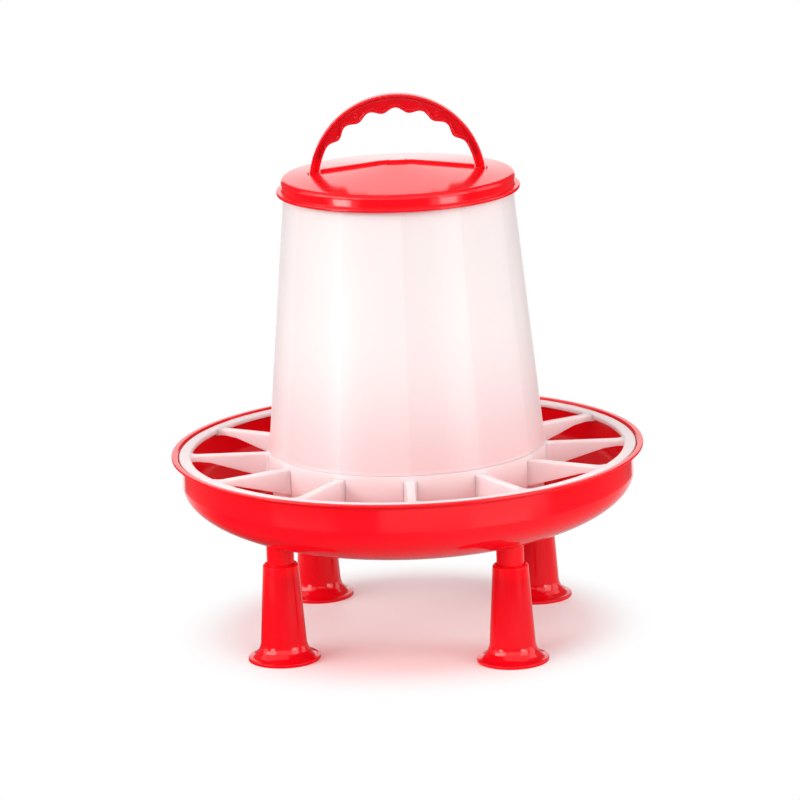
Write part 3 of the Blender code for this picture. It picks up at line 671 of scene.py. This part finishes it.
def grip_edge(phi):
    """Radius of the handle's inner edge at an angle in degrees from the top: waves, then plain legs."""
    phi = abs(phi)
    if phi > GRIP_END:
        return HANDLE_R - LEG_DEPTH
    crown = max(math.cos(math.radians(90.0 * phi / GRIP_END)), 0.0)
    depth = GRIP_DEPTH + CROWN_DEPTH * crown - WAVE_DEPTH * math.cos(math.tau * phi / WAVE_PITCH)
    if phi > 2.5 * WAVE_PITCH:
        share = (GRIP_END - phi) / (WAVE_PITCH / 2)
        blend = share * share * (3.0 - 2.0 * share)
        depth = LEG_DEPTH + (depth - LEG_DEPTH) * math.sqrt(blend)
    return HANDLE_R - depth


def foot_angle(radius):
    """Angle in degrees from the top, found by halving, where the arch of that radius reaches the lid."""
    low, high = 60.0, 100.0
    for _ in range(40):
        phi = (low + high) / 2
        a = math.radians(phi)
        if HANDLE_Z + radius * math.cos(a) > lid_z(radius * math.sin(a)) + GAP:
            low = phi
        else:
            high = phi
    return low


def on_arch(radius, phi, y):
    a = math.radians(phi)
    return (radius * math.sin(a), y, HANDLE_Z + radius * math.cos(a))


def ejector_mark(build, phi, radius, size, height, facets=20):
    """Small round boss on the front face of the handle's web."""
    x, _, z = on_arch(radius, phi, 0.0)
    edge, top = WEB_HALF + height * 0.6, WEB_HALF + height
    profile = ((0.02, MARK_ROOT), (size, MARK_ROOT), (size, edge), (size * 0.8, top), (0.02, top))
    rings = []
    for r, y in profile:
        turns = [math.tau * k / facets for k in range(facets)]
        rings.append([(x + r * math.cos(a), -y, z + r * math.sin(a)) for a in turns])
    capped(build, rings)


def ridge(build, start, end, half=0.4):
    """Low straight ridge on the front face of the handle's web, between two (angle, radius) points."""
    (x0, _, z0), (x1, _, z1) = on_arch(start[1], start[0], 0.0), on_arch(end[1], end[0], 0.0)
    along = Vector((x1 - x0, z1 - z0)).normalized() * half
    corners = [
        (x0 - along.y, z0 + along.x), (x1 - along.y, z1 + along.x), (x1 + along.y, z1 - along.x),
        (x0 + along.y, z0 - along.x)]
    capped(build, [[(x, y, z) for x, z in corners] for y in (-MARK_ROOT, -WEB_HALF - RIDGE_HEIGHT)])


def handle_section(inner):
    """The I-section across the arch, as (radius, y), from the outer flange to the bead at radius inner."""
    flange, bead = HANDLE_R - FLANGE_T, inner + BEAD_T
    web_out, web_in = flange - 0.4, bead + 0.1
    return rounded([
        (HANDLE_R, -FLANGE_HALF, 0.9), (HANDLE_R, FLANGE_HALF, 0.9), (flange, FLANGE_HALF, 0.5),
        (web_out, WEB_HALF, 0.8), (web_in, WEB_HALF, 0.7), (bead, BEAD_HALF, 0.5), (inner, BEAD_HALF, 0.6),
        (inner, -BEAD_HALF, 0.6), (bead, -BEAD_HALF, 0.5), (web_in, -WEB_HALF, 0.7),
        (web_out, -WEB_HALF, 0.8), (flange, -FLANGE_HALF, 0.5)], steps=4)


def make_handle():
    build = bmesh.new()
    last = foot_angle(HANDLE_R - LEG_DEPTH)
    count = 360
    rings = []
    for i in range(count + 1):
        phi = last * (2.0 * i / count - 1.0)
        ring = []
        for radius, y in handle_section(grip_edge(phi)):
            turned = phi if 0 < i < count else math.copysign(foot_angle(radius), phi)
            ring.append(on_arch(radius, turned, y))
        rings.append(ring)
    capped(build, rings)
    z = lid_z(TONGUE_R)
    foot, barb_out = z - TONGUE_LONG, TONGUE_IN + 0.1
    for side in (0.0, math.pi):
        box(build, (TONGUE_IN, -TONGUE_HALF, foot), (TONGUE_R, TONGUE_HALF, z + TONGUE_TOP), side)
        box(build, (BARB_IN, -TONGUE_HALF, foot), (barb_out, TONGUE_HALF, z - BARB_DROP), side)
    for phi, radius, size, height in EJECTOR_MARKS.values():
        ejector_mark(build, phi, radius, size, height)
    for start, end in RIDGES.values():
        ridge(build, start, end)
    return finish_mesh("handle", build, red)


pieces = {
    "feed_pan": (make_pan(), "red_plastic"),
    "feeding_grille": (make_grille(), "white_plastic"),
    "hopper_barrel": (make_barrel(), "milky_plastic"),
    "lid": (make_lid(), "red_plastic"),
    "carry_handle": (make_handle(), "red_plastic"),
}
leg_names = ("leg_back_right", "leg_back_left", "leg_front_left", "leg_front_right")
for leg_name, leg_centre in zip(leg_names, leg_centres()):
    pieces[leg_name] = (make_leg(leg_name.replace("leg", "foot"), leg_centre), "red_plastic")
for node, (piece, finish_slot) in pieces.items():
    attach(piece, "root")
    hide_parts(node)


# Table, in metres: where the camera sees it fade to white, where painted light lifts its shade for the
# camera, and the painted reflection that the feeder's gloss sees in it

TABLE_R = 0.45
FADE_FROM, FADE_TO = 0.095, 0.170
# Where painted light lifts the table's shade, and how bright its painted reflection is
PAINTED_LIFT_FROM, PAINTED_LIFT_TO, PAINTED_LIFT = -0.075, -0.015, 0.25
MIRROR_FROM, MIRROR_TO = 0.0, 0.35
MIRROR_SIDE, MIRROR_LEFT, MIRROR_RIGHT = 0.12, 0.06, 0.45


def table_look():
    """Matt white that fades to plain white for the camera, with painted light that lifts its shade toward the
    back; the gloss sees a painted reflection of it, dim on the left and brightening toward the back.
    """
    made = bpy.data.materials.new("studio table")
    made.use_nodes = True
    made.cycles.emission_sampling = "NONE"
    tree = made.node_tree
    shader = tree.nodes["Principled BSDF"]
    shader.inputs["Base Color"].default_value = (*TABLE_WHITE, 1.0)
    shader.inputs["Roughness"].default_value = 0.5
    shader.inputs["Specular IOR Level"].default_value = 0.2
    where = coordinates(tree)
    axes = axes_of(tree, where)
    away = tree.nodes.new("ShaderNodeVectorMath")
    away.operation = "LENGTH"
    tree.links.new(where, away.inputs[0])
    ray = tree.nodes.new("ShaderNodeLightPath").outputs
    fade = ramp(tree, away.outputs["Value"], FADE_FROM, FADE_TO)
    # Painted light: behind the feeder's front a quarter of plain white lifts the table's shade, for the
    # camera only
    lifted_share = ramp(tree, axes["Y"], PAINTED_LIFT_FROM, PAINTED_LIFT_TO, to_high=PAINTED_LIFT)
    pale = computed(tree, "MULTIPLY", computed(tree, "MAXIMUM", fade, lifted_share), ray["Is Camera Ray"])
    blank = tree.nodes.new("ShaderNodeEmission").outputs["Emission"]
    to_camera = mixed_shader(tree, pale, shader.outputs["BSDF"], blank)
    # Painted reflection: the gloss sees a glow, dim on the left and at the front, brighter to the right and
    # the back
    in_front = ramp(tree, axes["X"], -MIRROR_SIDE, MIRROR_SIDE, MIRROR_LEFT, MIRROR_RIGHT, "LINEAR")
    painted_reflection = tree.nodes.new("ShaderNodeEmission")
    brighter = ramp(tree, axes["Y"], MIRROR_FROM, MIRROR_TO, to_low=in_front)
    tree.links.new(brighter, painted_reflection.inputs["Strength"])
    whole = mixed_shader(tree, ray["Is Glossy Ray"], to_camera, painted_reflection.outputs["Emission"])
    tree.links.new(whole, tree.nodes["Material Output"].inputs["Surface"])
    return made


def floor():
    """Round studio table."""
    mesh = bpy.data.meshes.new("floor")
    turns = [math.tau * k / 96 for k in range(96)]
    ring = [(TABLE_R * math.cos(a), TABLE_R * math.sin(a), 0.0) for a in turns]
    mesh.from_pydata(ring, [], [tuple(range(len(ring)))])
    mesh.materials.append(table_look())
    plane = bpy.data.objects.new("floor", mesh)
    bpy.context.scene.collection.objects.link(plane)
    return plane


# The studio round the feeder. Each board has the azimuth of its middle, counted from the camera's side and
# positive to the right, its half width, its lower and upper elevation, all in degrees, and its brightness.

EDGE_BLUR = 3.0
BOARDS = {
    "room": (180, 180, -32, 90, 0.15),
    "white backdrop": (180, 17, -18, 32, 1.15),
    "key on the left": (-66, 26, 14, 32, 6.2),
    "pale wall on the left": (-98, 14, 2, 32, 1.5),
    "front board": (0, 40, 14, 32, 1.5),
    "fill on the right": (56, 17, 2, 32, 3.6),
    "pale wall on the right": (100, 18, -4, 40, 1.6),
    "low board on the right": (48, 16, -18, -8, 1.6),
    "low board in front": (30, 45, -32, -18, 0.9),
    "low board on the left": (-56, 17, -18, -8, 0.9),
    "ceiling board": (-20, 110, 32, 60, 0.85),
    "ceiling": (0, 180, 60, 90, 0.5),
}


def toward(azimuth):
    """Level unit vector at an azimuth in degrees, counted from the camera's side, positive to the right."""
    a = math.radians(azimuth)
    return Vector((math.sin(a), -math.cos(a), 0.0))


def soft_edge(tree, source, degrees):
    return ramp(tree, source, math.radians(degrees - EDGE_BLUR), math.radians(degrees + EDGE_BLUR))


def board(tree, heading, elevation, azimuth, half, low, high):
    """Share of a board in each direction, from 0 beside it to 1 on it."""
    share = soft_edge(tree, elevation, low)
    if high < 90:
        share = computed(tree, "SUBTRACT", share, soft_edge(tree, elevation, high))
    if half < 180:
        across = tree.nodes.new("ShaderNodeVectorMath")
        across.operation = "DOT_PRODUCT"
        across.inputs[1].default_value = toward(azimuth)
        tree.links.new(heading, across.inputs[0])
        beside = math.cos(math.radians(half + EDGE_BLUR))
        on_it = math.cos(math.radians(half - EDGE_BLUR))
        share = computed(tree, "MULTIPLY", share, ramp(tree, across.outputs["Value"], beside, on_it))
    return share


def level_heading(tree, axes):
    """The direction's unit vector in the level plane."""
    level = tree.nodes.new("ShaderNodeCombineXYZ")
    tree.links.new(axes["X"], level.inputs["X"])
    tree.links.new(axes["Y"], level.inputs["Y"])
    unit = tree.nodes.new("ShaderNodeVectorMath")
    unit.operation = "NORMALIZE"
    tree.links.new(level.outputs["Vector"], unit.inputs[0])
    return unit.outputs["Vector"]


def world():
    """White to the camera; to the feeder a dim room with pale boards, each with a soft edge."""
    made = bpy.data.worlds.new("studio")
    bpy.context.scene.world = made
    made.use_nodes = True
    tree = made.node_tree
    tree.nodes.clear()
    axes = axes_of(tree, coordinates(tree, "Generated"))
    heading = level_heading(tree, axes)
    elevation = computed(tree, "ARCSINE", axes["Z"])
    total = 0.0
    for azimuth, half, low, high, brightness in BOARDS.values():
        share = board(tree, heading, elevation, azimuth, half, low, high)
        total = computed(tree, "MULTIPLY_ADD", share, brightness, total)
    around = tree.nodes.new("ShaderNodeBackground")
    around.inputs["Color"].default_value = (*PURE_WHITE, 1.0)
    tree.links.new(total, around.inputs["Strength"])
    seen = tree.nodes.new("ShaderNodeBackground")
    seen.inputs["Color"].default_value = (*PURE_WHITE, 1.0)
    ray = tree.nodes.new("ShaderNodeLightPath").outputs
    whole = mixed_shader(tree, ray["Is Camera Ray"], around.outputs["Background"], seen.outputs["Background"])
    tree.links.new(whole, tree.nodes.new("ShaderNodeOutputWorld").inputs["Surface"])


# Two low lamps that the lid's upright wall mirrors as streaks, in metres

LAMP_AWAY, LAMP_LOW, LAMP_HIGH, LAMP_WIDTH = 1.0, 0.07, 0.19, 0.30


def low_lamp(name, azimuth, radiance):
    """Upright panel that faces the feeder, at an azimuth in degrees."""
    data = bpy.data.lights.new(name, "AREA")
    data.shape = "RECTANGLE"
    height = LAMP_HIGH - LAMP_LOW
    data.size = LAMP_WIDTH
    data.size_y = height
    data.energy = radiance * math.pi * LAMP_WIDTH * height
    holder = bpy.data.objects.new(name, data)
    side = toward(azimuth)
    holder.location = side * LAMP_AWAY + Vector((0.0, 0.0, (LAMP_LOW + LAMP_HIGH) / 2))
    holder.rotation_euler = side.to_track_quat("Z", "Y").to_euler()
    bpy.context.scene.collection.objects.link(holder)


# Camera, fitted to the photograph: turns in radians, place in metres, focal length in the picture's pixels

YAW, PITCH, ROLL = -0.0013, 0.2351, -0.0359
CAMERA_Y, CAMERA_Z = -2.95628, 0.87010
FOCAL_PX, PICTURE_PX, SENSOR_MM = 4424.69, 800.0, 36.0


def camera():
    """The photograph's view: from the front, a little above the lid, with the floor tilted two degrees."""
    ahead = Vector((math.sin(YAW) * math.cos(PITCH), math.cos(YAW) * math.cos(PITCH), -math.sin(PITCH)))
    right = Vector((math.cos(YAW), -math.sin(YAW), 0.0))
    up = right.cross(ahead)
    across = right * math.cos(ROLL) + up * math.sin(ROLL)
    upward = up * math.cos(ROLL) - right * math.sin(ROLL)
    view = bpy.data.cameras.new("photo view")
    view.sensor_width = SENSOR_MM
    view.lens = FOCAL_PX / PICTURE_PX * SENSOR_MM
    view.clip_start = 0.1
    view.clip_end = 50.0
    holder = bpy.data.objects.new("photo view", view)
    holder.matrix_world = Matrix((
        (across.x, upward.x, -ahead.x, 0.0),
        (across.y, upward.y, -ahead.y, CAMERA_Y),
        (across.z, upward.z, -ahead.z, CAMERA_Z),
        (0.0, 0.0, 0.0, 1.0)))
    bpy.context.scene.collection.objects.link(holder)
    bpy.context.scene.camera = holder


floor()
low_lamp("left strip", -55.0, 12.0)
low_lamp("right strip", 48.0, 6.5)
world()
camera()

bpy.context.scene.view_settings.view_transform = "Standard"
